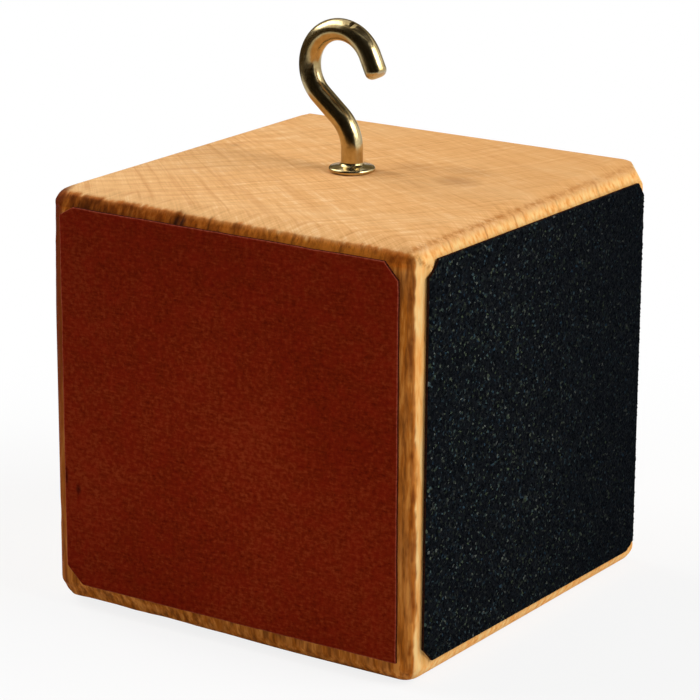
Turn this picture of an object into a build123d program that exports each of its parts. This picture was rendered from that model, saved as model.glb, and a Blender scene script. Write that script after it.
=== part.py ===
from build123d import *

import os
from math import radians, tan

# Friction cube: a hardwood block with a screw hook in its top, for dragging it over a surface.
# One side face carries a smooth fibre sheet and the next one an abrasive sheet.
# Millimetres, +Z up. The origin is the centre of the block's bottom face.
# The fibre sheet is on the front face (-Y) and the abrasive sheet on the right face (+X).

# Block, a nominal two-inch cube, a little out of square
block_width = 50.8
block_depth = 51.8
block_height = 50.4
block_edge_radius = 3.0

# Fibre sheet: stiff and flat, so its edges stand clear of the rounded edges of the wood
fibre_thickness = 0.4
fibre_left_margin = 2.6
fibre_right_margin = 2.1
fibre_bottom_margin = 2.95
fibre_top_margin = 1.9
# Each corner is snipped off by hand: the cut's width, then its height
fibre_top_left_snip = (2.0, 1.15)
fibre_top_right_snip = (1.85, 1.95)
fibre_bottom_left_snip = (2.25, 2.1)
fibre_bottom_right_snip = (0, 0)

# Abrasive sheet: limp, so it follows the wood down over the start of the rounded edges
abrasive_thickness = 0.45
abrasive_front_margin = 2.05
abrasive_back_margin = 2.9
abrasive_bottom_margin = 2.55
abrasive_top_margin = 2.15
abrasive_skew = -0.35
abrasive_top_front_snip = (2.0, 1.75)
abrasive_top_back_snip = (1.2, 1.65)
abrasive_bottom_front_snip = (1.55, 1.65)
abrasive_bottom_back_snip = (1.7, 1.05)

# Hook, bent from round wire: radii are those of the wire's centre line
wire_diameter = 2.6
hook_offset = -0.3
hook_turn = -2.0
neck_height = 2.55
shoulder_radius = 4.85
shoulder_angle = 50.5
slant_length = 3.45
eye_radius = 4.5
eye_angle = 205.5
tip_length = 2.7
tip_edge_radius = 0.5

# Flange, upset from the wire
flange_diameter = 5.5
flange_rim = 0.6
neck_fillet = 0.55

# Screw below the flange, with its thread rolled in the same wire
screw_length = 11.0
shank_length = 2.0
shank_taper = 0.3
core_diameter = 2.0
thread_diameter = 2.8
thread_pitch = 1.4
thread_angle = 60
thread_root_depth = 0.1
point_length = 3.0
point_diameter = 0.4
thread_clearance = 0.05


def rounded_block(skin=0):
    """The block with all its edges rounded, or the same form grown all round by a skin."""
    size = (block_width + 2 * skin, block_depth + 2 * skin, block_height + 2 * skin)
    block = Pos(0, 0, block_height / 2) * Box(*size)
    return fillet(block.edges(), block_edge_radius + skin)


def snipped_sheet(left, right, bottom, top, snips):
    """A rectangle with its corners snipped off. The snips go round from the bottom left."""
    corners = [(left, bottom), (right, bottom), (right, top), (left, top)]
    inward = [(1, 1), (-1, 1), (-1, -1), (1, -1)]
    points = []
    for index, ((x, y), (dx, dy), (width, height)) in enumerate(zip(corners, inward, snips)):
        along = (x + dx * width, y)
        up = (x, y + dy * height)
        pair = [up, along] if index % 2 == 0 else [along, up]
        points += pair if width and height else [(x, y)]
    return make_face(Polyline(*points, close=True))


def fibre_sheet():
    """The flat sheet on the front face."""
    outline = snipped_sheet(
        fibre_left_margin - block_width / 2,
        block_width / 2 - fibre_right_margin,
        fibre_bottom_margin,
        block_height - fibre_top_margin,
        [fibre_bottom_left_snip, fibre_bottom_right_snip, fibre_top_right_snip, fibre_top_left_snip],
    )
    front_face = Plane.XZ.offset(block_depth / 2)
    return extrude(front_face * outline, fibre_thickness)


def abrasive_sheet():
    """The sheet on the right face: a skin of the block, cut to the sheet's outline."""
    front = abrasive_front_margin - block_depth / 2
    back = block_depth / 2 - abrasive_back_margin
    bottom = abrasive_bottom_margin
    top = block_height - abrasive_top_margin
    snips = [abrasive_bottom_front_snip, abrasive_bottom_back_snip]
    snips += [abrasive_top_back_snip, abrasive_top_front_snip]
    outline = snipped_sheet(front, back, bottom, top, snips)
    middle = Pos((front + back) / 2, (bottom + top) / 2)
    outline = middle * Rot(0, 0, abrasive_skew) * middle.inverse() * outline
    inside_face = Plane.YZ.offset(block_width / 2 - block_edge_radius)
    reach = block_edge_radius + 2 * abrasive_thickness
    skin = rounded_block(abrasive_thickness) - rounded_block()
    return skin & extrude(inside_face * outline, reach)


def hook_wire():
    """The bent wire above the block, in the XZ plane, with its foot at the origin."""
    neck = Line((0, 0), (0, neck_height))
    shoulder = JernArc(neck @ 1, neck % 1, shoulder_radius, shoulder_angle)
    slant = Line(shoulder @ 1, shoulder @ 1 + slant_length * (shoulder % 1))
    eye = JernArc(slant @ 1, slant % 1, eye_radius, -eye_angle)
    tip = Line(eye @ 1, eye @ 1 + tip_length * (eye % 1))
    route = Plane.XZ * Wire([neck, shoulder, slant, eye, tip])
    wire = sweep(Circle(wire_diameter / 2), path=route)
    tip_face = wire.faces().filter_by(GeomType.PLANE).sort_by_distance(route @ 1)[0]
    return fillet(tip_face.edges(), tip_edge_radius)


def flange():
    """The round flange with its rounded rim and the fillet that runs up into the neck."""
    rim_radius = flange_rim / 2
    rim_centre = flange_diameter / 2 - rim_radius
    neck = wire_diameter / 2
    fillet_foot = neck + neck_fillet
    with BuildSketch(Plane.XZ) as profile:
        with BuildLine():
            Polyline((0, flange_rim + neck_fillet), (0, 0), (rim_centre, 0))
            ThreePointArc((rim_centre, 0), (rim_centre + rim_radius, rim_radius), (rim_centre, flange_rim))
            Line((rim_centre, flange_rim), (fillet_foot, flange_rim))
            RadiusArc((fillet_foot, flange_rim), (neck, flange_rim + neck_fillet), neck_fillet)
            Line((neck, flange_rim + neck_fillet), (0, flange_rim + neck_fillet))
        make_face()
    return revolve(profile.sketch, Axis.Z)


def screw(clearance=0):
    """The threaded shank below z = 0, or the same form grown by the thread's clearance in the wood."""
    shank = wire_diameter / 2 + clearance
    core = core_diameter / 2 + clearance
    crest = thread_diameter / 2 + clearance
    point = point_diameter / 2 + clearance
    thread_top = -shank_length - shank_taper
    thread_bottom = point_length - screw_length
    turned = Polyline(
        (0, 0),
        (shank, 0),
        (shank, -shank_length),
        (core, thread_top),
        (core, thread_bottom),
        (point, -screw_length - clearance),
        (0, -screw_length - clearance),
        close=True,
    )
    body = revolve(Plane.XZ * make_face(turned), Axis.Z)
    # The thread's root lies a little inside the core, so that the two fuse
    root = core - thread_root_depth
    half_root = clearance + (crest - root) * tan(radians(thread_angle / 2))
    section = Polyline((root, -half_root), (crest, 0), (root, half_root), close=True)
    start = Pos(0, 0, thread_bottom)
    ridge_path = start * Helix(thread_pitch, thread_top - thread_bottom, core)
    ridge = sweep(start * (Plane.XZ * make_face(section)), path=ridge_path, is_frenet=True)
    # The turned body's seam is kept away from the start of the thread
    return body.rotate(Axis.Z, 45) + ridge


hook_place = Pos(hook_offset, 0, block_height) * Rot(0, 0, hook_turn)

wood_cube = rounded_block() - hook_place * screw(thread_clearance)
screw_hook = hook_place * (hook_wire() + flange() + screw())

nodes = {
    "wood_cube": wood_cube,
    "fibre_sheet": fibre_sheet(),
    "abrasive_sheet": abrasive_sheet(),
    "screw_hook": screw_hook,
}

os.makedirs("parts", exist_ok=True)
for name, shape in nodes.items():
    export_step(shape, f"parts/{name}.step")
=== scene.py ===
from functools import cached_property, reduce
from math import cos, pi, radians, sin

import bpy
import numpy as np
from mathutils import Matrix, Vector


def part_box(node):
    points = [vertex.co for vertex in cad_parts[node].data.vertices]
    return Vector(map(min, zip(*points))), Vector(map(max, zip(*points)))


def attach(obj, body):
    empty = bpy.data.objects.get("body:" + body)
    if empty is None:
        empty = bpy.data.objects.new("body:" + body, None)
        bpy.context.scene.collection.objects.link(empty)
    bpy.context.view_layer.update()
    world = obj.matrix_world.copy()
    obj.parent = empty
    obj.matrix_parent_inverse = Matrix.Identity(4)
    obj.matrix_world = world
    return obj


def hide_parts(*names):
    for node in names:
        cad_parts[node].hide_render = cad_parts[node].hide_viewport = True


# Friction cube: a worn hardwood block with a fibre sheet, an abrasive sheet and a plated screw hook.
# Lengths are in millimetres up to the meshes, which are in metres, as the lamps are. +Z is up, the fibre
# sheet faces -Y and the abrasive sheet faces +X.

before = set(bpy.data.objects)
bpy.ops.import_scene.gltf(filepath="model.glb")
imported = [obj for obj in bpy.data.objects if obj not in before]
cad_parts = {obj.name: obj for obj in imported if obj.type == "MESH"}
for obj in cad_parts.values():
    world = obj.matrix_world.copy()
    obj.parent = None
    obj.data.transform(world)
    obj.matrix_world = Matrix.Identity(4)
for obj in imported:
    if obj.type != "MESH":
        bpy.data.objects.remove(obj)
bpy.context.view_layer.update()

MM = 0.001
rng = np.random.default_rng(7)


def cad_box(node):
    """Lowest and highest corner of a node, in millimetres."""
    low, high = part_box(node)
    return np.array(low) / MM, np.array(high) / MM


wood_low, wood_high = cad_box("wood_cube")
fibre_low, fibre_high = cad_box("fibre_sheet")
_, abrasive_high = cad_box("abrasive_sheet")
hook_low, _ = cad_box("screw_hook")

# Block
edge_radius = 3.0
half_size = (wood_high - wood_low) / 2
block_centre = (wood_high + wood_low) / 2
block_top = wood_high[2]
right_face = wood_high[0]
# The skin's grid: points across a face, and cells over a rounded edge
face_points, edge_cells = 96, 12
# The way in which the corner at the back right of the top was knocked off, and how deep
knock_direction, knock_depth = np.array([0.70, 0.53, 0.47]), 0.5
# The pith of the tree lies beyond the back left edge, where the rays lead back to
pith = (-94.0, 59.0)
# Rings are counted from this distance from the pith, so many to a millimetre, and more further out
first_ring, rings_per_mm, rings_growth = 85.0, 0.37, 0.0023
# The distance from one ray to the next is measured this far from the pith
ray_distance = 110.0

# Hook: radii are those of the wire's centre line. The wire is a hair thinner than the solid's, to stay
# inside it, and its cut tip is rounder
wire_radius = 1.29
hook_x = -0.3
hook_turn = radians(-2.0)
neck_height = 2.55
shoulder_radius, shoulder_angle = 4.85, radians(50.5)
slant_length = 3.45
eye_radius, eye_angle = 4.5, radians(205.5)
tip_length = 2.7
tip_edge_radius = 0.85
flange_radius, flange_rim, neck_fillet = 2.75, 0.6, 0.55
screw_length = block_top - hook_low[2]
shank_length, shank_taper = 2.0, 0.3
core_radius, thread_radius, thread_pitch, thread_half_width = 1.0, 1.4, 1.4, 0.25
point_length, point_radius = 3.0, 0.2
bore_clearance, bore_sides = 0.05, 48
# The hook's skin: sides of a ring, and how far apart the rings are on the wire and on the screw
ring_sides, wire_step, screw_step = 72, 0.13, 0.09
ring_angles = np.arange(ring_sides) * 2 * pi / ring_sides

# Snipped corners of the sheets, each the cut's width and height, at the bottom left, bottom right, top
# right and top left
fibre_snips = [(2.25, 2.1), (0, 0), (1.85, 1.95), (2.0, 1.15)]
abrasive_snips = [(1.55, 1.65), (1.7, 1.05), (1.2, 1.65), (2.0, 1.75)]
# Points up and across each sheet, inside a narrow border of cells
fibre_grid, abrasive_grid = (110, 120), (285, 290)
border = 0.15
pressed_edge = 0.06
abrasive_front_margin, abrasive_back_margin = 2.05, 2.9
abrasive_bottom_margin, abrasive_top_margin = 2.55, 2.15
abrasive_skew = radians(-0.35)
grit_height = 0.16
# This many cells reach past the abrasive sheet's bends, so that the rest of its hidden side is flat
bent_cells = 8


# Meshes

def mesh_object(name, points, faces, smooth=True):
    """A mesh from points in millimetres."""
    mesh = bpy.data.meshes.new(name)
    mesh.from_pydata([tuple(p) for p in np.asarray(points) * MM], [], faces)
    mesh.validate()
    obj = bpy.data.objects.new(name, mesh)
    bpy.context.collection.objects.link(obj)
    mesh.polygons.foreach_set("use_smooth", np.full(len(mesh.polygons), smooth))
    return obj


def point_attribute(obj, name, values):
    """A number at each vertex, for the materials to read."""
    attribute = obj.data.attributes.new(name, "FLOAT", "POINT")
    attribute.data.foreach_set("value", np.asarray(values, np.float32))


def smooth_noise(points, scale, seed):
    """Soft noise from sums of turned sine waves, about -1 to 1. Scale is the size of its features."""
    waves = np.random.default_rng(seed)
    total = np.zeros(len(points))
    weight = 0.0
    for octave in range(3):
        for _ in range(5):
            direction = waves.normal(size=3)
            direction *= 2 * pi / (scale * 0.5 ** octave) / np.linalg.norm(direction)
            total += 0.5 ** octave * np.sin(points @ direction + waves.uniform(0, 2 * pi))
        weight += 0.5 ** octave * 1.6
    return total / weight


def ramp(value, start, end):
    """0 before start, 1 after end, smooth between."""
    t = np.clip((value - start) / (end - start), 0, 1)
    return t * t * (3 - 2 * t)


def bell(value, middle, reach):
    """1 at the middle, falling away to both sides."""
    return np.exp(-((value - middle) / reach) ** 2)


def grid_faces(rows, columns):
    """Quads of a grid of points stored row by row."""
    return [
        (r * columns + c, r * columns + c + 1, (r + 1) * columns + c + 1, (r + 1) * columns + c)
        for r in range(rows - 1) for c in range(columns - 1)
    ]


# Wood

def block_steps(half):
    """Places along one side of the block, closer together over the rounded edges."""
    inner = half - edge_radius
    edge = inner + edge_radius * np.linspace(0, 1, edge_cells + 1)[1:] ** 0.8
    middle = np.linspace(-inner, inner, face_points)
    return np.concatenate([-edge[::-1], middle, edge])


def rounded_block():
    """The block as one closed grid with rounded edges."""
    steps = [block_steps(h) for h in half_size]
    points, faces, seen = [], [], {}
    for axis in range(3):
        u_axis, v_axis = (axis + 1) % 3, (axis + 2) % 3
        for side in (-1, 1):
            index = np.zeros((len(steps[u_axis]), len(steps[v_axis])), int)
            for i, u in enumerate(steps[u_axis]):
                for j, v in enumerate(steps[v_axis]):
                    p = np.zeros(3)
                    p[axis], p[u_axis], p[v_axis] = side * half_size[axis], u, v
                    key = tuple(np.round(p, 4))
                    if key not in seen:
                        seen[key] = len(points)
                        points.append(p)
                    index[i, j] = seen[key]
            for i in range(len(index) - 1):
                for j in range(len(index[0]) - 1):
                    quad = (index[i, j], index[i + 1, j], index[i + 1, j + 1], index[i, j + 1])
                    faces.append(quad if side > 0 else quad[::-1])
    points = np.array(points)
    inner = np.clip(points, edge_radius - half_size, half_size - edge_radius)
    away = points - inner
    normals = away / np.linalg.norm(away, axis=1, keepdims=True)
    return inner + edge_radius * normals + block_centre, normals, faces


def dent(points, centre, radii):
    """1 at the centre of an oval dent, falling to 0 at its rim."""
    distance = np.linalg.norm((points - np.array(centre)) / np.array(radii), axis=1)
    return np.clip(1 - distance ** 2, 0, 1) ** 1.5


# Dents and nicks in the wood: centre, reach along x, y and z, and depth
wood_dents = [
    ((-6.4, -25.2, 49.5), (0.75, 1.1, 1.2), 0.4),
    ((-2.3, -25.1, 49.6), (0.35, 0.8, 0.6), 0.2),
    ((9.0, -25.1, 49.5), (0.35, 0.8, 0.8), 0.25),
    ((15.3, -25.1, 49.5), (0.35, 0.8, 0.8), 0.25),
    ((22.6, -24.8, 49.5), (1.2, 0.9, 0.7), 0.2),
    ((24.6, -24.4, 49.3), (0.8, 0.8, 0.7), 0.2),
    ((24.9, -24.8, 24.5), (0.5, 0.5, 1.2), 0.2),
    ((24.6, 8.0, 49.8), (0.8, 2.0, 0.8), 0.15),
    ((-24.9, -24.6, 11.0), (0.8, 0.8, 1.6), 0.2),
    ((-24.4, 8.0, 49.6), (0.9, 2.4, 0.9), 0.2),
    ((-12.0, 25.2, 0.9), (3.0, 0.9, 0.8), 0.2),
    ((24.6, 25.0, 30.0), (0.9, 0.9, 3.0), 0.2),
]


def edge_share(normals):
    """0 on the flat faces and 1 on the ridge of each rounded edge."""
    return np.clip((1 - np.abs(normals).max(axis=1)) / 0.29, 0, 1)


def edge_angle(normals, first, second):
    """Degrees that a normal has turned from the first direction towards the second."""
    return np.degrees(np.arctan2(normals @ np.array(second), normals @ np.array(first)))


def sunk(points, normals):
    """How far sanding and wear have taken the skin down at each point."""
    x, _, height = points.T
    right, back, up = normals.T
    upward, downward = ramp(up, 0.05, 0.4), ramp(-up, 0.05, 0.4)
    leftward, rightward = ramp(-right, 0.02, 0.1), ramp(right, 0.02, 0.1)
    frontward, backward = ramp(-back, 0.02, 0.1), ramp(back, 0.02, 0.1)
    # Sanding left two narrow flats with a ridge between them along each edge
    steep = np.sort(np.abs(normals), axis=1)
    corners = ramp(steep[:, 0], 0.15, 0.4)
    turn = np.arctan2(steep[:, 1], steep[:, 2])
    flats = edge_radius * (1 - cos(pi / 8) / np.cos(turn - pi / 8)) * (1 - ramp(steep[:, 0], 0.15, 0.5))
    sink = 0.85 * flats + 0.02 + 0.02 * smooth_noise(points, 9, 11)
    rough = 0.03 + 0.03 * smooth_noise(points, 8, 12) + 0.012 * smooth_noise(points, 1.6, 13)
    sink += edge_share(normals) * rough
    # Some edges kept their full rounding: the top's at the back and left, those under the right face and
    # under the front's right half, and the left ones low down. So did the corners, the lower ones in part
    kept = np.maximum.reduce([
        upward * np.maximum(backward, leftward),
        downward * rightward,
        downward * frontward * ramp(x, -8, 10),
        leftward * (1 - ramp(height, 34, 44)) * (1 - downward),
        corners * (1 - 0.55 * downward),
    ])
    sink = sink * (1 - kept)
    # Others are worn further: the left ones near the top, and the one under the front's left half
    upper_left = 0.14 * leftward * ramp(height, 36, 45)
    lower_front = 0.12 * downward * frontward * (1 - ramp(x, -22, 0))
    sink += (1 - corners) * (upper_left + lower_front)
    sink += 0.2 * corners * downward * frontward * leftward
    for centre, radii, depth in wood_dents:
        sink += depth * dent(points, centre, radii)
    return np.clip(sink, 0, None)


def stains_and_shading(points, normals):
    """Where grime, rubbing and hands colour the wood, where shade, contact shade and a highlight are
    painted on it, and which way it faces, from 0 to 1.
    """
    x, y, height = points.T
    right, back, up = normals.T
    # Which way each rounded edge faces: 45 degrees is its ridge
    to_top = edge_angle(normals, (0, -1, 0), (0, 0, 1))
    to_right = edge_angle(normals, (0, -1, 0), (1, 0, 0))
    from_right = edge_angle(normals, (1, 0, 0), (0, 0, 1))
    frontish = -back > 0.02
    # The painted shade of the front-facing wood, with the brown that hands left on it, ends at these
    # angles round the front's top edge and its right one
    along_x = points * (1, 0, 0)
    along_z = points * (0, 0, 1)
    top_line = (47 - 9 * ramp(x, -14, 8)
                + 3 * smooth_noise(along_x, 2.5, 24) + 4 * smooth_noise(along_x, 0.9, 25))
    right_line = (46 + 8 * (1 - ramp(height, 24, 50))
                  + 3 * smooth_noise(along_z, 17, 22) + 3 * smooth_noise(along_z, 3, 23))
    handled_and_shaded = 1 - ramp(to_top, top_line - 8, top_line + 8)
    handled_and_shaded = handled_and_shaded * (1 - ramp(to_right, right_line - 3, right_line + 3))
    handled_and_shaded = np.where(frontish, handled_and_shaded, 0)
    top_front = (frontish & (up > 0.3)) * handled_and_shaded
    handled_and_shaded *= 1 - 0.5 * ramp(up, 0.05, 0.3) * ramp(x, -8, 12) * (1 - ramp(x, 20, 22.5))
    grime = top_front * (0.12 + 0.5 * ramp(-x, -2, 16))
    for place, reach, strength in ((-6.4, 0.7, 1.0), (-19.5, 2.5, 0.4), (23.0, 2.0, 0.45)):
        grime += top_front * strength * bell(x, place, reach)
    rubbed_front = bell(to_top, top_line + 2, 7) * frontish
    rubbed_front = rubbed_front * (0.75 - 0.35 * ramp(x, -12, 4) + 0.5 * ramp(x, 12, 22))
    rubbed_right = bell(from_right, 56, 9) * (right > 0.02) * (0.95 - 0.4 * ramp(y, -5, 20))
    front_top = frontish * ramp(to_top, 4, 12) * (1 - ramp(to_top, top_line + 2, top_line + 12))
    front_line = bell(to_right, right_line - 9, 5) * frontish * (np.abs(up) < 0.5)
    # Painted shade: the front's left margin turns darker and redder, more so higher up
    left_painted_shade = ramp(-x, 21.6, 23.8) * ramp(-right, 0.0, 0.18) * (1 - ramp(y, -24.4, -22.2))
    # Painted contact shade: the rounded bottom edges, where the block meets the floor
    low_contact_shade = ramp(-up, 0.80, 0.93) * (1 - ramp(-up, 0.985, 0.999))
    return {
        "top": ramp(up, 0.5, 0.75),
        "flat_top": ramp(up, 0.90, 0.998),
        "lit_edge_highlight": ramp(right, 0.45, 0.8) * ramp(edge_share(normals), 0.05, 0.3),
        "handled_and_shaded": np.clip(handled_and_shaded, 0, 1),
        "grime": np.clip(grime, 0, 1),
        "left_painted_shade": left_painted_shade * (0.5 + 0.5 * ramp(height, 10, 34)),
        "front_top": front_top * (1 - ramp(to_right, 20, 48)),
        "right_top": (right > 0.02) * ramp(from_right, 4, 12) * (1 - ramp(from_right, 50, 64)),
        "front_line": front_line * ramp(-height, -50, -46),
        "low_contact_shade": low_contact_shade * (frontish | (right < -0.02)),
        "ridge": np.clip(np.maximum(rubbed_front, rubbed_right), 0, 1),
        "front_ridge": frontish * bell(to_top, top_line - 3, 9),
    }


def make_wood():
    """The worn block. The corner at the back right of its top is knocked off."""
    points, normals, faces = rounded_block()
    moved = points - normals * sunk(points, normals)[:, None]
    corner = half_size - edge_radius + block_centre
    knock = knock_direction / np.linalg.norm(knock_direction)
    over = np.clip((moved - corner) @ knock - (edge_radius - knock_depth), 0, None)
    moved -= over[:, None] * knock
    obj = mesh_object("wood_cube_worn", moved, faces)
    for name, values in stains_and_shading(points, normals).items():
        point_attribute(obj, name, values)
    point_attribute(obj, "knocked", ramp(over, 0.0, 0.05))
    return obj


def cut_bore(obj):
    """The plain hole under the flange that the screw sits in."""
    radius = thread_radius + bore_clearance
    low, high = block_top - screw_length - bore_clearance, block_top + 1
    turns = [2 * pi * i / bore_sides for i in range(bore_sides)]
    points = [(hook_x + radius * cos(turn), radius * sin(turn), z) for z in (low, high) for turn in turns]
    following = [(i + 1) % bore_sides for i in range(bore_sides)]
    faces = [(i, following[i], bore_sides + following[i], bore_sides + i) for i in range(bore_sides)]
    faces += [tuple(range(bore_sides))[::-1], tuple(range(bore_sides, 2 * bore_sides))]
    cutter = mesh_object("bore_cutter", points, faces, smooth=False)
    modifier = obj.modifiers.new("bore", "BOOLEAN")
    modifier.object = cutter
    modifier.operation = "DIFFERENCE"
    modifier.solver = "EXACT"
    graph = bpy.context.evaluated_depsgraph_get()
    cut = bpy.data.meshes.new_from_object(obj.evaluated_get(graph))
    obj.modifiers.clear()
    obj.data = cut
    bpy.data.objects.remove(cutter)


# Sheets

def snipped_grid(low, high, snips, rows, columns):
    """Places across and up a rectangle with snipped corners, row by row, with a narrow border of cells."""
    (left, bottom), (right, top) = low, high
    bottom_left, bottom_right, top_right, top_left = snips
    heights = set(np.linspace(bottom + border, top - border, rows).round(4))
    heights |= {round(bottom + h, 4) for h in (0, bottom_left[1], bottom_right[1])}
    heights |= {round(top - h, 4) for h in (0, top_left[1], top_right[1])}
    heights = np.array(sorted(heights))

    def cut(snip, away):
        """How far a snip cuts into the row at that distance from its end of the sheet."""
        width, height = snip
        return width * (1 - away / height) if height and away < height else 0

    starts = np.array([left + max(cut(bottom_left, z - bottom), cut(top_left, top - z)) for z in heights])
    ends = np.array([right - max(cut(bottom_right, z - bottom), cut(top_right, top - z)) for z in heights])
    starts, ends = starts[:, None], ends[:, None]
    inside = starts + border + (ends - starts - 2 * border) * np.linspace(0, 1, columns - 2)
    across = np.concatenate([starts, inside, ends], axis=1)
    return across, np.repeat(heights[:, None], columns, axis=1)


def border_ring(rows, columns, inset=0):
    """The places of a grid's points along its border, or along a ring that many cells further in."""
    low, top, right = inset, rows - 1 - inset, columns - 1 - inset
    ring = [low * columns + c for c in range(low, right + 1)]
    ring += [r * columns + right for r in range(low + 1, top + 1)]
    ring += [top * columns + c for c in range(right - 1, low - 1, -1)]
    ring += [r * columns + low for r in range(top - 1, low, -1)]
    return ring


def closed_sheet(name, outer, inner, smooth=True, band=None):
    """A solid sheet from two grids of points (rows, columns, 3), with a flat rim in the second material.

    With a band, the hidden inner side keeps that many cells along its border and is one face inside them.
    """
    rows, columns = outer.shape[:2]
    kept = np.ones((rows, columns), bool)
    inner_faces = grid_faces(rows, columns)
    if band:
        kept[band + 1:-band - 1, band + 1:-band - 1] = False
        corners = [(*divmod(face[0], columns), face) for face in inner_faces]
        inner_faces = [f for r, c, f in corners if min(r, rows - 2 - r, c, columns - 2 - c) < band]
        inner_faces.append(tuple(border_ring(rows, columns, band)))
    place = (rows * columns + np.cumsum(kept.ravel()) - 1).tolist()
    faces = grid_faces(rows, columns)
    faces += [tuple(place[i] for i in reversed(f)) for f in inner_faces]
    rim_start = len(faces)
    rim = border_ring(rows, columns)
    faces += [(b, a, place[a], place[b]) for a, b in zip(rim, rim[1:] + rim[:1])]
    points = np.concatenate([outer.reshape(-1, 3), inner.reshape(-1, 3)[kept.ravel()]])
    obj = mesh_object(name, points, faces)
    on_rim = np.arange(len(obj.data.polygons)) >= rim_start
    obj.data.polygons.foreach_set("material_index", on_rim.astype(int))
    obj.data.polygons.foreach_set("use_smooth", ~on_rim & smooth)
    return obj


def make_fibre():
    """The flat fibre sheet, cut by hand, with slightly uneven edges."""
    low, high = fibre_low[[0, 2]], fibre_high[[0, 2]]
    across, up = snipped_grid(low, high, fibre_snips, *fibre_grid)
    flat = np.stack([across, np.zeros_like(across), up], axis=-1).reshape(-1, 3)
    # The scissor cut wanders a little, only inwards
    cut = 0.02 + 0.03 * np.clip(smooth_noise(flat, 7, 31) + 0.5, 0, None)
    middle = np.insert((low + high) / 2, 1, 0)
    reach = np.insert((high - low) / 2, 1, 1)
    flat -= ((flat - middle) / reach) ** 7 * cut[:, None] * (1, 0, 1)
    wave = 0.01 + 0.02 * np.clip(smooth_noise(flat, 16, 32) + 0.5, 0, None)
    flat[:, 1] = fibre_low[1] + wave
    outer = flat.reshape(across.shape + (3,))
    # The pressed edge is very slightly rounded
    outer[[0, -1], :, 1] += pressed_edge
    outer[:, [0, -1], 1] += pressed_edge
    inner = outer.copy()
    inner[:, :, 1] = fibre_high[1]
    obj = closed_sheet("fibre_sheet_cut", outer, inner)
    # The border of the face, where the arris is painted paler, partly wear and partly a painted highlight
    rubbed_and_lit = np.zeros(across.shape)
    rubbed_and_lit[[0, -1], :] = 1
    rubbed_and_lit[:, [0, -1]] = 1
    point_attribute(obj, "rubbed_and_lit", np.concatenate([rubbed_and_lit.ravel(), np.zeros(across.size)]))
    return obj


def skin_drop(y, z, radius):
    """How far the rounded block's skin of that radius lies behind its flat right face."""
    over_y = np.clip(np.abs(y) - (half_size[1] - edge_radius), 0, radius)
    over_z = np.clip(np.abs(z - block_centre[2]) - (half_size[2] - edge_radius), 0, radius)
    over = np.clip(over_y ** 2 + over_z ** 2, 0, radius ** 2)
    return radius - np.sqrt(radius ** 2 - over)


def make_abrasive():
    """The abrasive sheet: a limp backing over the wood's rounded edges, with a layer of grit on it."""
    thickness = abrasive_high[0] - right_face
    low = np.array([-half_size[1] + abrasive_front_margin, abrasive_bottom_margin])
    high = np.array([half_size[1] - abrasive_back_margin, block_top - abrasive_top_margin])
    across, up = snipped_grid(low, high, abrasive_snips, *abrasive_grid)
    middle = (low + high) / 2
    y = middle[0] + (across - middle[0]) * cos(abrasive_skew) - (up - middle[1]) * sin(abrasive_skew)
    z = middle[1] + (across - middle[0]) * sin(abrasive_skew) + (up - middle[1]) * cos(abrasive_skew)
    grit = rng.random(y.shape) ** 1.6 * grit_height
    grit[[0, -1], :] = 0
    grit[:, [0, -1]] = 0
    backing = abrasive_high[0] - grit_height - skin_drop(y, z, edge_radius + thickness)
    outer = np.stack([backing + grit, y, z], axis=-1)
    inner = np.stack([right_face - skin_drop(y, z, edge_radius), y, z], axis=-1)
    return closed_sheet("abrasive_sheet_grit", outer, inner, smooth=False, band=bent_cells)


# Hook

def hook_route():
    """Places and headings along the wire's centre line, in the hook's own XZ plane, from neck to tip."""
    route = []
    position, heading = np.array([0.0, flange_rim + neck_fillet]), pi / 2
    # Each stretch is straight, with a length, or bent, with a radius and the angle that it turns by
    stretches = [
        ("straight", neck_height - flange_rim - neck_fillet),
        ("bent", shoulder_radius, shoulder_angle),
        ("straight", slant_length),
        ("bent", eye_radius, -eye_angle),
        ("straight", tip_length - tip_edge_radius),
    ]
    for kind, *size in stretches:
        length = size[0] if kind == "straight" else size[0] * abs(size[1])
        count = max(2, round(length / wire_step))
        begin, begin_heading = position, heading
        for step in range(1, count + 1):
            share = step / count
            if kind == "straight":
                position = begin + share * length * np.array([cos(heading), sin(heading)])
            else:
                radius, angle = size
                side = 1 if angle > 0 else -1
                centre = begin + side * radius * np.array([-sin(begin_heading), cos(begin_heading)])
                heading = begin_heading + share * angle
                position = centre - side * radius * np.array([-sin(heading), cos(heading)])
            route.append((position, heading))
    return route


def screw_radius(depth, angle):
    """The screw's radius at a depth below the flange, with the rolled thread's helix."""
    point_start = screw_length - point_length
    if depth < shank_length:
        return wire_radius
    if depth < shank_length + shank_taper:
        return wire_radius + (core_radius - wire_radius) * (depth - shank_length) / shank_taper
    core = core_radius
    fade = 1.0
    if depth > point_start:
        # The thread fades out over the first quarter of the point
        share = (depth - point_start) / point_length
        core = core_radius + (point_radius - core_radius) * share
        fade = max(0.0, 1 - 4 * share)
    phase = (-depth / thread_pitch - angle / (2 * pi)) % 1
    beside = min(phase, 1 - phase) * thread_pitch
    ridge = max(0.0, 1 - beside / thread_half_width)
    return core + (thread_radius - core_radius) * ridge * fade


def level_ring(height, radius):
    """A ring about the hook's upright axis, from one radius or one for each side."""
    radii = np.ones(ring_sides) * radius
    flat = [radii * np.cos(ring_angles), radii * np.sin(ring_angles), np.full(ring_sides, height)]
    return np.stack(flat, axis=-1)


def screw_rings():
    """The screw, from its point up to the block's top."""
    depths = np.arange(screw_length, 0.05, -screw_step)
    return [level_ring(-depth, [screw_radius(depth, a) for a in ring_angles]) for depth in depths]


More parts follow.
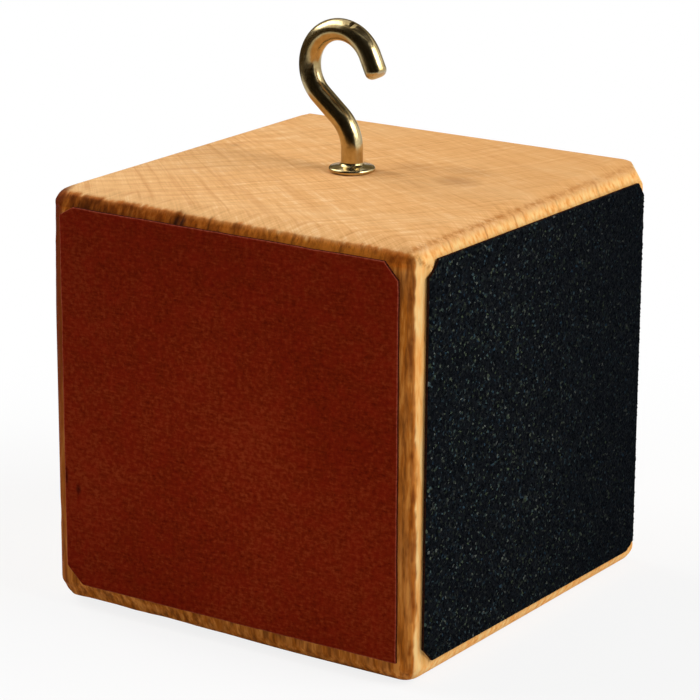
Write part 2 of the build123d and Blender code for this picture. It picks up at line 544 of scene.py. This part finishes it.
def flange_rings():
    """The flange, whose top falls a little towards its rounded rim, and the fillet up into the neck."""
    rings = [level_ring(0.0, wire_radius), level_ring(0.0, wire_radius + 0.6)]
    rim = flange_rim / 2
    rim_cells, rim_end = 11, 1.15
    for step in range(rim_cells + 1):
        turn = -pi / 2 + (pi / 2 + rim_end) * step / rim_cells
        rings.append(level_ring(rim + rim * sin(turn), flange_radius - rim + rim * cos(turn)))
    foot = flange_rim + 0.08
    fillet_cells, fillet_start = 8, 0.25
    for step in range(fillet_cells + 1):
        turn = fillet_start + (pi / 2 - fillet_start) * step / fillet_cells
        height = foot + (flange_rim + neck_fillet - foot) * (1 - cos(turn))
        rings.append(level_ring(height, wire_radius + neck_fillet * (1 - sin(turn))))
    return rings


def wire_rings():
    """The bent wire, and its tip, which is cut square and has its edge rounded over."""
    rings = []
    other = np.array([0, 1, 0])
    for place, heading in hook_route():
        side = np.array([sin(heading), 0, -cos(heading)])
        centre = np.array([place[0], 0, place[1]])
        circle = np.cos(ring_angles)[:, None] * side + np.sin(ring_angles)[:, None] * other
        rings.append(centre + wire_radius * circle)
    along = np.array([cos(heading), 0, sin(heading)])
    centre = rings[-1].mean(axis=0)
    outward = (rings[-1] - centre) / wire_radius
    tip_cells = 8
    for step in range(1, tip_cells + 1):
        turn = pi / 2 * step / tip_cells
        radius = wire_radius - tip_edge_radius * (1 - cos(turn))
        rings.append(centre + along * tip_edge_radius * sin(turn) + outward * radius)
    rings.append(centre + along * tip_edge_radius + outward * (wire_radius - tip_edge_radius) * 0.5)
    return rings


def make_hook():
    """The hook as one skin of rings: screw, flange, neck, shoulder, eye and tip."""
    rings = screw_rings() + flange_rings() + wire_rings()
    points = np.concatenate(rings)
    # A transverse nick that the bending left in the eye's outer side
    nick = dent(points, (0.40, -0.32, 17.37), (0.34, 1.0, 0.6))
    points -= nick[:, None] * 0.14 * np.array([0.3, -0.25, 0.9])
    faces = []
    for first in range(0, len(points) - ring_sides, ring_sides):
        for c in range(ring_sides):
            a, b = first + c, first + (c + 1) % ring_sides
            faces.append((a, b, b + ring_sides, a + ring_sides))
    faces.append(tuple(range(ring_sides))[::-1])
    faces.append(tuple(range(len(points) - ring_sides, len(points))))
    turned = points @ np.array(Matrix.Rotation(hook_turn, 3, "Z")).T
    obj = mesh_object("screw_hook_bent", turned + (hook_x, 0, block_top), faces)
    # The last rings are bare metal, where the wire was cut after plating
    bare_rings = [0.1, 0.3, 0.6, 0.8, 1, 1, 1, 1]
    bare = np.zeros(len(rings))
    bare[-len(bare_rings):] = bare_rings
    point_attribute(obj, "cut_end", np.repeat(bare, ring_sides))
    return obj


# Materials

class Graph:
    """Short calls for the nodes of one material, or of the world."""

    def __init__(self, owner):
        owner.use_nodes = True
        self.owner = owner
        self.nodes, self.links = owner.node_tree.nodes, owner.node_tree.links

    @cached_property
    def place(self):
        """The object's own coordinates, in metres."""
        return self.nodes.new("ShaderNodeTexCoord").outputs["Object"]

    def put(self, socket, value):
        if isinstance(value, bpy.types.NodeSocket):
            self.links.new(value, socket)
        elif value is not None:
            socket.default_value = value

    def put_all(self, node, *values):
        """Fills the node's first inputs and gives its outputs."""
        for socket, value in zip(node.inputs, values):
            self.put(socket, value)
        return node.outputs

    def math(self, operation, a, b=None, clamp=False):
        node = self.nodes.new("ShaderNodeMath")
        node.operation = operation
        node.use_clamp = clamp
        return self.put_all(node, a, b)[0]

    def times(self, a, b, clamp=False):
        return self.math("MULTIPLY", a, b, clamp)

    def plus(self, a, b):
        return self.math("ADD", a, b)

    def linear(self, value, slope, offset):
        return self.plus(self.times(value, slope), offset)

    def weighted(self, *terms):
        """The sum of values, each with its weight."""
        return reduce(self.plus, [self.times(value, weight) for value, weight in terms])

    def attribute(self, name):
        node = self.nodes.new("ShaderNodeAttribute")
        node.attribute_name = name
        return node.outputs["Fac"]

    def vector_math(self, operation, a, b=None, output="Vector"):
        node = self.nodes.new("ShaderNodeVectorMath")
        node.operation = operation
        return self.put_all(node, a, b)[output]

    def stretch(self, scale):
        """The place in millimetres times a scale for each axis."""
        return self.vector_math("MULTIPLY", self.place, tuple(s / MM for s in scale))

    def coordinates(self):
        """x, y and z in millimetres."""
        return tuple(self.put_all(self.nodes.new("ShaderNodeSeparateXYZ"), self.stretch((1, 1, 1))))

    def noise(self, vector, detail=3.0, roughness=0.55):
        node = self.nodes.new("ShaderNodeTexNoise")
        self.put(node.inputs["Vector"], vector)
        node.inputs["Scale"].default_value = 1.0
        node.inputs["Detail"].default_value = detail
        node.inputs["Roughness"].default_value = roughness
        return node.outputs["Fac"]

    def patches(self, scale, detail=3.0, roughness=0.55):
        """Noise in space, with a scale for each axis. A scale of 1 gives patches about 1 mm across."""
        return self.noise(self.stretch(scale), detail, roughness)

    def streaks(self, *axes, detail=2.0, roughness=0.6):
        """Noise along three axes of one's own, each a value, or a value and its scale."""
        values = [self.times(*axis) if isinstance(axis, tuple) else axis for axis in axes]
        node = self.nodes.new("ShaderNodeCombineXYZ")
        return self.noise(self.put_all(node, *values)[0], detail, roughness)

    def curve(self, value, stops):
        """A ramp of grey or colour through stops of (place, colour or grey)."""
        node = self.nodes.new("ShaderNodeValToRGB")
        elements = node.color_ramp.elements
        while len(elements) < len(stops):
            elements.new(0.5)
        for element, (place, colour) in zip(elements, stops):
            element.position = place
            element.color = (colour,) * 3 + (1,) if np.isscalar(colour) else colour + (1,)
        return self.put_all(node, value)["Color"]

    def mix(self, share, a, b, kind="MIX"):
        node = self.nodes.new("ShaderNodeMix")
        node.data_type = "RGBA"
        node.blend_type = kind
        for name, value in (("Factor_Float", share), ("A_Color", a), ("B_Color", b)):
            socket = next(s for s in node.inputs if s.identifier == name)
            self.put(socket, value + (1,) if isinstance(value, tuple) else value)
        return next(s for s in node.outputs if s.identifier == "Result_Color")

    def tinted(self, colour, tint, *shares):
        """The colour taken towards a tint by the product of the shares."""
        return self.mix(reduce(self.times, shares), colour, tint)

    def bump(self, height, distance, strength):
        node = self.nodes.new("ShaderNodeBump")
        node.inputs["Strength"].default_value = strength
        node.inputs["Distance"].default_value = distance * MM
        self.put(node.inputs["Height"], height)
        return node.outputs["Normal"]

    def marks_along(self, value, marks):
        """Short dark marks at places along one axis, each with its half width and strength."""
        span = 60
        stops = []
        for place, half, strength in sorted(marks):
            middle = place / span + 0.5
            stops += [(middle - half / span, 0.0), (middle, strength), (middle + half / span, 0.0)]
        return self.curve(self.linear(value, 1 / span, 0.5), stops)

    def spot(self, centre, radii, strength):
        """A soft oval spot of that strength, in millimetres."""
        inside = self.vector_math("SUBTRACT", self.stretch((1, 1, 1)), centre)
        scaled = self.vector_math("MULTIPLY", inside, tuple(1 / r for r in radii))
        away = self.vector_math("LENGTH", scaled, output="Value")
        return self.curve(away, [(0.0, strength), (0.45, strength * 0.7), (1.0, 0.0)])

    def seen_by(self, *rays):
        """1 for these kinds of ray and 0 for all others."""
        path = self.nodes.new("ShaderNodeLightPath")
        return reduce(lambda a, b: self.math("MAXIMUM", a, b), [path.outputs[ray] for ray in rays])

    def glow(self, kind, colour, strength):
        node = self.nodes.new(kind)
        node.inputs["Color"].default_value = colour + (1,)
        node.inputs["Strength"].default_value = strength
        return node.outputs[0]

    def mixed_shaders(self, share, first, second):
        return self.put_all(self.nodes.new("ShaderNodeMixShader"), share, first, second)[0]

    def surface(self, colour, roughness, specular=None, normal=None):
        """Fills the material's shader and gives the material."""
        inputs = self.nodes["Principled BSDF"].inputs
        self.put(inputs["Base Color"], colour)
        self.put(inputs["Roughness"], roughness)
        self.put(inputs["Specular IOR Level"], specular)
        self.put(inputs["Normal"], normal)
        return self.owner


class WoodGraph(Graph):
    """The hardwood's nodes. Its figure follows rings round the pith, and rays that run out from it."""

    def __init__(self, owner):
        super().__init__(owner)
        self.x, self.y, self.z = self.coordinates()
        from_x = self.math("SUBTRACT", self.x, pith[0])
        from_y = self.math("SUBTRACT", self.y, pith[1])
        radius = self.math("SQRT", self.plus(self.times(from_x, from_x), self.times(from_y, from_y)))
        wobble = self.times(self.math("SUBTRACT", self.patches((0.05, 0.05, 0.02), 2), 0.5), 2.4)
        # The distance out along a ray, and the distance round along a ring
        self.out = self.plus(radius, wobble)
        self.arc = self.times(self.math("ARCTAN2", from_y, from_x), ray_distance)
        # The rings are about 3 mm wide at the back left and half that at the front right
        beyond = self.math("SUBTRACT", self.out, first_ring)
        self.ring = self.weighted((beyond, rings_per_mm), (self.times(beyond, beyond), rings_growth))
        self.ring_fine = self.streaks((self.ring, 9.0), (self.arc, 0.22), (self.z, 0.05), roughness=0.65)
        self.ray_fine = self.streaks((self.arc, 4.6), (self.out, 0.28), (self.z, 0.3), roughness=0.65)
        self.long_line = self.streaks((self.out, 3.2), (self.arc, 1.4), (self.z, 0.035), detail=4)
        self.blotch = self.patches((0.11, 0.11, 0.05))


def ring_lines(g):
    """A line at the outer edge of each ring, clearer in some stretches than in others."""
    wave = g.streaks(g.ring, (g.arc, 0.06), 0.0, roughness=0.5)
    saw = g.math("FRACT", g.plus(g.ring, g.times(wave, 0.5)))
    edge = g.curve(saw, [(0.0, 0.5), (0.10, 0.0), (0.45, 0.0), (0.76, 0.5), (0.92, 1.0), (1.0, 0.5)])
    stretches = g.streaks((g.ring, 0.5), (g.arc, 0.07), 0.0, detail=3)
    return g.times(edge, g.curve(stretches, [(0.34, 0.2), (0.58, 1.0)]))


def end_grain(g):
    """The top: rings and rays, with faint smudges and a painted shadow of the hook."""
    ring_soft = g.streaks((g.ring, 2.6), (g.arc, 0.04), (g.z, 0.012))
    ray_soft = g.streaks((g.arc, 1.25), (g.out, 0.035), (g.z, 0.05))
    tone = g.weighted((ring_soft, 0.20), (ray_soft, 0.22), (g.ring_fine, 0.30), (g.ray_fine, 0.28))
    colour = g.curve(tone, [
        (0.38, (0.66, 0.315, 0.105)), (0.46, (0.82, 0.430, 0.160)),
        (0.53, (0.90, 0.490, 0.195)), (0.61, (1.0, 0.66, 0.34))])
    pale = g.curve(g.patches((0.05, 0.16, 0.05)), [(0.50, 0.0), (0.68, 1.0)])
    colour = g.tinted(colour, (0.97, 0.68, 0.36), pale, 0.28)
    # Paler towards the front left and browner towards the back right
    lean = g.linear(g.plus(g.x, g.y), 0.0105, 0.5)
    colour = g.tinted(colour, (0.98, 0.64, 0.31), g.curve(lean, [(0.05, 0.40), (0.42, 0.0)]))
    colour = g.tinted(colour, (0.72, 0.37, 0.13), g.curve(lean, [(0.40, 0.0), (0.90, 0.50)]))
    colour = g.tinted(colour, (0.78, 0.42, 0.17), g.blotch, 0.25)
    # The lines are clearest at the front left and end at the rounded edges
    clear = g.times(g.curve(lean, [(0.20, 0.46), (0.50, 0.15)]), g.attribute("flat_top"))
    colour = g.tinted(colour, (0.62, 0.245, 0.085), ring_lines(g), clear)
    rays = g.curve(g.streaks((g.arc, 1.6), (g.out, 0.03), 6.0, roughness=0.5), [(0.54, 0.0), (0.64, 1.0)])
    colour = g.tinted(colour, (0.60, 0.250, 0.080), rays, g.times(clear, 0.75))
    # Smudges, and two spots just right of the hook at (3.5, 1.6) and (4.6, 5.8) that are a painted shadow
    # of it: place, reach along x and y, and strength
    for x, y, reach_x, reach_y, strength in (
            (12.4, 2.6, 3.5, 3.0, 0.42), (11.0, 7.5, 5.0, 2.5, 0.26), (3.5, 1.6, 3.5, 1.2, 0.32),
            (4.6, 5.8, 3.4, 3.2, 0.26), (-19.5, 3.4, 1.0, 1.2, 0.35)):
        smudge_and_shadow = g.spot((x, y, block_top), (reach_x, reach_y, 9), strength)
        colour = g.tinted(colour, (0.36, 0.16, 0.06), smudge_and_shadow)
    return colour


def long_grain(g):
    """The upright faces, with a painted highlight on the right edges, and redder on the front's top edge,
    partly as grime and partly as painted shade.
    """
    tone = g.weighted((g.long_line, 0.75), (g.blotch, 0.4))
    colour = g.curve(tone, [
        (0.42, (0.60, 0.26, 0.065)), (0.55, (0.79, 0.40, 0.115)), (0.68, (0.90, 0.53, 0.20))])
    # Painted highlight: the rounded edges that face right are painted brighter, as the light from that
    # side makes them
    edge = g.streaks((g.x, 1.6), (g.y, 1.6), (g.z, 0.16), detail=4, roughness=0.62)
    bright = g.curve(edge, [
        (0.38, (0.88, 0.36, 0.085)), (0.47, (1.0, 0.52, 0.165)), (0.60, (1.0, 0.67, 0.28))])
    colour = g.tinted(colour, bright, g.attribute("lit_edge_highlight"), 0.85)
    # The front's top edge is painted redder, partly as grime and partly as painted shade
    return g.tinted(colour, (0.84, 0.38, 0.045), g.attribute("front_top"), 0.9)


def handling_and_shade(g, colour):
    """The edges that face the front get painted shade and brown from hands, the left margin gets painted
    shade, and grime sits on the front's top one.
    """
    mask = g.attribute("handled_and_shaded")
    streak = g.linear(g.patches((0.9, 0.9, 0.09), 4, 0.65), 0.8, 0.52)
    # Painted shade on the wood that faces the front, streaked and flecked with wear from hands
    colour = g.tinted(colour, (0.46, 0.130, 0.011), g.times(mask, streak, clamp=True))
    flecks = g.streaks((g.x, 1.5), (g.y, 1.5), (g.z, 0.22), detail=3)
    dark = g.curve(flecks, [(0.50, 0.0), (0.64, 1.0)])
    colour = g.tinted(colour, (0.12, 0.028, 0.004), dark, mask, 0.62)
    pale = g.curve(flecks, [(0.36, 1.0), (0.48, 0.0)])
    colour = g.tinted(colour, (0.80, 0.34, 0.07), pale, mask, 0.55)
    # Painted shade, darker and redder, on the front's left margin
    colour = g.tinted(colour, (0.150, 0.018, 0.001), g.attribute("left_painted_shade"), 0.95)
    stretches = g.curve(g.streaks(0.0, 0.0, (g.z, 0.22), detail=3), [(0.42, 0.0), (0.56, 1.0)])
    colour = g.tinted(colour, (0.16, 0.030, 0.004), g.attribute("front_line"), stretches, 0.8)
    ticks = g.streaks((g.x, 2.6), (g.y, 0.5), (g.z, 0.5), detail=3, roughness=0.65)
    grime = g.times(g.attribute("grime"), g.linear(ticks, 1.6, -0.05), clamp=True)
    return g.tinted(colour, (0.10, 0.026, 0.003), grime)


def edge_marks_and_shade(g, colour):
    """Marks across the top's front and right edges, a dark line along the front one that is partly painted
    shade, and painted contact shade low down.
    """
    across_front = g.marks_along(g.x, [
        (-19.8, 1.5, 0.4), (-13.2, 0.3, 0.5), (-6.85, 0.6, 1.0), (-6.05, 0.55, 1.0), (-2.3, 0.22, 0.9),
        (1.2, 0.25, 0.4), (5.0, 0.3, 0.35), (9.0, 0.22, 0.9), (12.3, 0.2, 0.4), (15.3, 0.25, 0.9)])
    colour = g.tinted(colour, (0.035, 0.009, 0.002), across_front, g.attribute("front_top"))
    # A ragged dark line along the ridge of the front's top edge, partly grime and partly painted shade
    ragged = g.streaks((g.x, 1.9), (g.y, 0.7), (g.z, 0.7), detail=4, roughness=0.72)
    ragged = g.curve(ragged, [(0.42, 0.0), (0.60, 1.0)])
    uneven = g.curve(g.streaks((g.x, 0.4), 0.0, 3.0, roughness=0.55), [(0.36, 0.25), (0.58, 1.0)])
    colour = g.tinted(colour, (0.13, 0.035, 0.005), ragged, g.attribute("front_ridge"), uneven, 0.85)
    across_right = g.marks_along(g.y, [
        (-18.3, 0.12, 0.5), (-14.9, 0.12, 0.4), (-10.95, 0.16, 1.0), (-4.65, 0.12, 0.6),
        (-2.75, 0.12, 0.7), (1.8, 0.12, 0.6), (4.5, 0.12, 0.5), (13.5, 0.18, 0.9)])
    colour = g.tinted(colour, (0.38, 0.10, 0.02), across_right, g.attribute("right_top"))
    # Painted contact shade along the bottom edges at the front and left
    return g.tinted(colour, (0.10, 0.030, 0.006), g.attribute("low_contact_shade"), 0.8)


def wood_material():
    g = WoodGraph(bpy.data.materials.new("hardwood"))
    top = g.attribute("top")
    colour = g.mix(top, long_grain(g), end_grain(g))
    # Short dark ray flecks in the long grain
    fleck = g.streaks((g.arc, 2.3), (g.out, 2.3), (g.z, 0.42), detail=1, roughness=0.55)
    fleck = g.curve(fleck, [(0.66, 0.0), (0.72, 1.0)])
    clean = g.math("MAXIMUM", top, g.math("MAXIMUM", g.attribute("lit_edge_highlight"), g.attribute("right_top")))
    colour = g.tinted(colour, (0.20, 0.055, 0.012), fleck, g.math("SUBTRACT", 1.0, clean), 0.6)
    colour = edge_marks_and_shade(g, handling_and_shade(g, colour))
    # The ridges are browned by rubbing, and the knocked-off corner is painted pale, partly as fresh wood
    # and partly as a painted highlight
    scuff = g.curve(g.patches((1.6, 1.6, 1.6), 3, 0.6), [(0.40, 0.25), (0.60, 1.0)])
    colour = g.tinted(colour, (0.44, 0.140, 0.020), g.attribute("ridge"), scuff, 0.74)
    # The front's top edge is darkened, partly as grime and partly as painted shade
    colour = g.mix(g.attribute("front_top"), colour, (0.95, 0.71, 0.48), "MULTIPLY")
    colour = g.tinted(colour, (0.94, 0.66, 0.31), g.attribute("knocked"))
    grain = g.weighted((g.ring_fine, 0.5), (g.ray_fine, 0.5), (g.long_line, 0.6))
    return g.surface(colour, 0.68, 0.03, g.bump(grain, 0.10, 0.6))


def fibre_material():
    g = Graph(bpy.data.materials.new("fibreboard"))
    fine = g.patches((1.9, 1.9, 1.9), 4, 0.62)
    fibres = g.patches((1.0, 1.0, 4.6), 3, 0.6)
    broad = g.patches((0.06, 0.06, 0.06), 2)
    colour = g.curve(g.weighted((fine, 0.5), (fibres, 0.3), (broad, 0.2)), [
        (0.36, (0.116, 0.0067, 0.0011)), (0.5, (0.197, 0.0157, 0.0028)), (0.61, (0.29, 0.036, 0.0088))])
    # Painted shade: darker towards the edges than in the middle
    middle = g.spot((3.0, fibre_low[1], 20.0), (38, 30, 37), 1.0)
    colour = g.tinted(colour, (0.10, 0.0055, 0.0018), g.math("SUBTRACT", 1.0, middle), 0.44)
    flecks = g.curve(g.patches((3.4, 3.4, 3.4), 1), [(0.70, 0.0), (0.76, 1.0)])
    colour = g.tinted(colour, (0.05, 0.004, 0.002), flecks, 0.4)
    redder = g.curve(g.patches((0.42, 0.42, 0.42)), [(0.40, 0.0), (0.62, 1.0)])
    colour = g.tinted(colour, (0.245, 0.0100, 0.0036), redder, 0.30)
    # Two dark marks near the left edge: place, and reach along x and z
    for x, z, reach_x, reach_z in ((-22.5, 16.1, 0.30, 1.7), (-20.8, 14.8, 0.50, 0.85)):
        mark = g.spot((x, fibre_low[1], z), (reach_x, 9, reach_z), 0.8)
        colour = g.tinted(colour, (0.025, 0.002, 0.001), mark)
    # The arris of the cut edge is painted paler, partly as wear and partly as a painted highlight
    rubbed_and_lit = g.times(g.attribute("rubbed_and_lit"), g.curve(fine, [(0.35, 0.25), (0.6, 1.0)]))
    colour = g.tinted(colour, (0.34, 0.075, 0.042), rubbed_and_lit)
    return g.surface(colour, 0.8, 0.01, g.bump(fine, 0.06, 0.7))


def cut_edge_material(name, dark, light):
    """The cut edge of a sheet, finely mottled."""
    g = Graph(bpy.data.materials.new(name))
    return g.surface(g.curve(g.patches((4, 4, 4), 3, 0.6), [(0.35, dark), (0.65, light)]), 0.9, 0.02)


def abrasive_material():
    g = Graph(bpy.data.materials.new("abrasive"))
    cells = g.nodes.new("ShaderNodeTexVoronoi")
    g.put(cells.inputs["Vector"], g.stretch((3.2, 3.2, 3.2)))
    cells.inputs["Scale"].default_value = 1.0
    picks = g.put_all(g.nodes.new("ShaderNodeSeparateXYZ"), cells.outputs["Color"])
    # Most grains are near black; a few carry painted glints in their base colour, weaker towards the back,
    # and the sheet is painted darker towards the back as painted shade
    _, y, _ = g.coordinates()
    far = g.linear(y, 0.019, 0.5)
    glint = g.curve(picks[0], [(0.0, 0.0), (0.70, 0.01), (0.92, 0.22), (1.0, 1.0)])
    glint = g.times(glint, g.curve(far, [(0.15, 1.0), (0.9, 0.45)]))
    tint = g.curve(picks[1], [
        (0.0, (0.012, 0.034, 0.060)), (0.35, (0.045, 0.075, 0.085)),
        (0.65, (0.060, 0.080, 0.040)), (1.0, (0.12, 0.13, 0.12))])
    base = g.curve(picks[2], [(0.0, (0.0012, 0.0018, 0.0030)), (1.0, (0.0060, 0.0072, 0.0092))])
    darker = g.curve(far, [(0.4, 0.0), (0.95, 0.5)])
    colour = g.tinted(g.mix(glint, base, tint), (0.0008, 0.0016, 0.0030), darker)
    return g.surface(colour, 0.55, 0.01)


def plated_material():
    g = Graph(bpy.data.materials.new("plated_wire"))
    colour = g.curve(g.patches((0.5, 0.5, 0.5)), [(0.35, (0.40, 0.29, 0.12)), (0.65, (0.63, 0.51, 0.28))])
    # The tip was cut after plating and is bare there
    cut_end = g.attribute("cut_end")
    colour = g.tinted(colour, (0.78, 0.80, 0.74), cut_end)
    smear = g.linear(g.patches((2.5, 2.5, 2.5)), 0.18, 0.12)
    uneven = g.bump(g.patches((1.6, 1.6, 1.6), 2), 0.03, 0.35)
    g.nodes["Principled BSDF"].inputs["Metallic"].default_value = 1.0
    return g.surface(colour, g.plus(smear, g.times(cut_end, 0.25)), normal=uneven)


# Studio

# The camera's place round the block, in degrees, from the block's outline and the sheets' edges in the
# photograph
view_azimuth, view_elevation, view_roll = 33.89, 16.33, 0.18
view_distance = 381.91
view_target = np.array([0.0, 0.0, 25.4])
view_shift_right, view_shift_up = -0.40, 3.22
focal_pixels, frame_pixels = 3227.5, 700
sensor_width = 36.0

# Lamps, all at one distance from a point above the floor, in metres: the way to each in degrees, its
# width in metres and the level that it lights to
lamp_distance, lamp_middle = 1.6, 0.04
lamps = {
    "window_right": (104, 33, 1.15, 0.58),
    "window_right_core": (91, 36, 0.38, 0.20),
    "window_left": (-84, 42, 1.15, 0.66),
    "ceiling": (0, 82, 1.0, 0.08),
}

# Dark cards, which only the hook's plating mirrors: where each starts and ends round the hook and up
# from it, in degrees, and its colour
flag_radius, flag_middle = 200.0, 12
flag_grid = (13, 25)
flags = {
    "flag_front": ((-38, 72), (-18, 60), (0.012, 0.009, 0.005)),
    "flag_over": ((-60, 200), (62, 89), (0.03, 0.022, 0.012)),
    "flag_left_low": ((-140, -38), (-20, 18), (0.06, 0.042, 0.02)),
    "flag_right_high": ((72, 200), (38, 62), (0.05, 0.035, 0.016)),
    "flag_back": ((165, 262), (0, 36), (0.26, 0.21, 0.11)),
}


def direction(azimuth, elevation):
    """From the block outwards: azimuth 0 is -Y and 90 is +X, in degrees."""
    a, e = radians(azimuth), radians(elevation)
    return np.array([sin(a) * cos(e), -cos(a) * cos(e), sin(e)])


def make_camera():
    back = direction(view_azimuth, view_elevation)
    level = np.cross((0, 0, 1), back)
    level /= np.linalg.norm(level)
    upright = np.cross(back, level)
    roll = radians(view_roll)
    right = cos(roll) * level + sin(roll) * upright
    up = cos(roll) * upright - sin(roll) * level
    place = view_target + back * view_distance + view_shift_right * right + view_shift_up * up
    data = bpy.data.cameras.new("camera")
    data.sensor_width = sensor_width
    data.lens = sensor_width * focal_pixels / frame_pixels
    data.clip_start, data.clip_end = 0.01, 20
    camera = bpy.data.objects.new("camera", data)
    bpy.context.collection.objects.link(camera)
    turn = Matrix(np.stack([right, up, back], axis=1).tolist()).to_4x4()
    camera.matrix_world = Matrix.Translation(Vector(place * MM)) @ turn
    bpy.context.scene.camera = camera


def make_lamp(name, azimuth, elevation, width, level):
    """A square lamp that lights a facing white surface to that level, 1 being white."""
    data = bpy.data.lights.new(name, "AREA")
    data.shape = "SQUARE"
    data.size = width
    data.energy = level * pi ** 2 * lamp_distance ** 2
    lamp = bpy.data.objects.new(name, data)
    bpy.context.collection.objects.link(lamp)
    towards = Vector(direction(azimuth, elevation))
    lamp.location = towards * lamp_distance + Vector((0, 0, lamp_middle))
    lamp.rotation_mode = "QUATERNION"
    lamp.rotation_quaternion = towards.to_track_quat("Z", "Y")
    lamp.visible_camera = False


def make_world():
    """Dim even light, with a white background for what sees it directly."""
    world = bpy.data.worlds.new("studio")
    bpy.context.scene.world = world
    g = Graph(world)
    g.nodes.clear()
    seen = g.seen_by("Is Camera Ray", "Is Glossy Ray", "Is Transmission Ray")
    dim = g.glow("ShaderNodeBackground", (1, 0.98, 0.95), 0.15)
    white = g.glow("ShaderNodeBackground", (1, 1, 1), 1.0)
    g.put_all(g.nodes.new("ShaderNodeOutputWorld"), g.mixed_shaders(seen, dim, white))


def make_floor():
    """A pale floor that keeps the object's shadow and turns into the white background further out."""
    reach = 3000
    corners = [(-reach, -reach, 0), (reach, -reach, 0), (reach, reach, 0), (-reach, reach, 0)]
    floor = mesh_object("floor", corners, [(0, 1, 2, 3)], smooth=False)
    g = Graph(bpy.data.materials.new("floor"))
    floor.data.materials.append(g.surface((0.86, 0.86, 0.85, 1), 0.95, 0.0))
    # The white starts at the first distance from the origin and is complete at the second, in metres
    away = g.vector_math("LENGTH", g.place, output="Value")
    fade = g.nodes.new("ShaderNodeMapRange")
    fade.interpolation_type = "SMOOTHSTEP"
    for name, value in (("Value", away), ("From Min", 0.045), ("From Max", 0.11), ("To Min", 0.84)):
        g.put(fade.inputs[name], value)
    share = g.times(fade.outputs["Result"], g.seen_by("Is Camera Ray", "Is Transmission Ray"))
    plain = g.nodes["Principled BSDF"].outputs[0]
    white = g.glow("ShaderNodeEmission", (1, 1, 1), 1.0)
    g.put_all(g.nodes["Material Output"], g.mixed_shaders(share, plain, white))


def make_flag(name, azimuths, elevations, colour):
    """A dark card curved round the hook, which only its plating mirrors."""
    rows, columns = flag_grid
    centre = np.array([0, 0, block_top + flag_middle])
    points = [
        centre + flag_radius * direction(a, e)
        for e in np.linspace(*elevations, rows) for a in np.linspace(*azimuths, columns)
    ]
    flag = mesh_object(name, points, grid_faces(rows, columns))
    flag.data.materials.append(Graph(bpy.data.materials.new(name)).surface(colour + (1,), 0.9, 0.0))
    flag.visible_camera = False
    flag.visible_diffuse = False
    flag.visible_shadow = False
    flag.visible_transmission = False


def place_piece(obj, node, slot_name, *materials):
    """The piece takes its materials, stands for its node and rides with the block."""
    for material in materials:
        obj.data.materials.append(material)
    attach(obj, "root")
    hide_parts(node)


wood = make_wood()
cut_bore(wood)
# The fibre sheet's cut edge is dark in itself, and darker still as painted shadow of the gap between the
# sheet and the wood
fibre_edge_and_gap_shade = cut_edge_material("fibreboard_cut_edge_and_gap_shade", (0.020, 0.003, 0.001), (0.070, 0.012, 0.005))
abrasive_edge = cut_edge_material("abrasive_backing", (0.012, 0.005, 0.003), (0.045, 0.014, 0.006))
place_piece(wood, "wood_cube", "hardwood", wood_material())
place_piece(make_fibre(), "fibre_sheet", "fibreboard", fibre_material(), fibre_edge_and_gap_shade)
place_piece(make_abrasive(), "abrasive_sheet", "abrasive", abrasive_material(), abrasive_edge)
place_piece(make_hook(), "screw_hook", "plated_wire", plated_material())

make_floor()
make_world()
for flag_name, flag_values in flags.items():
    make_flag(flag_name, *flag_values)
for lamp_name, lamp_values in lamps.items():
    make_lamp(lamp_name, *lamp_values)
make_camera()
bpy.context.scene.view_settings.view_transform = "Standard"
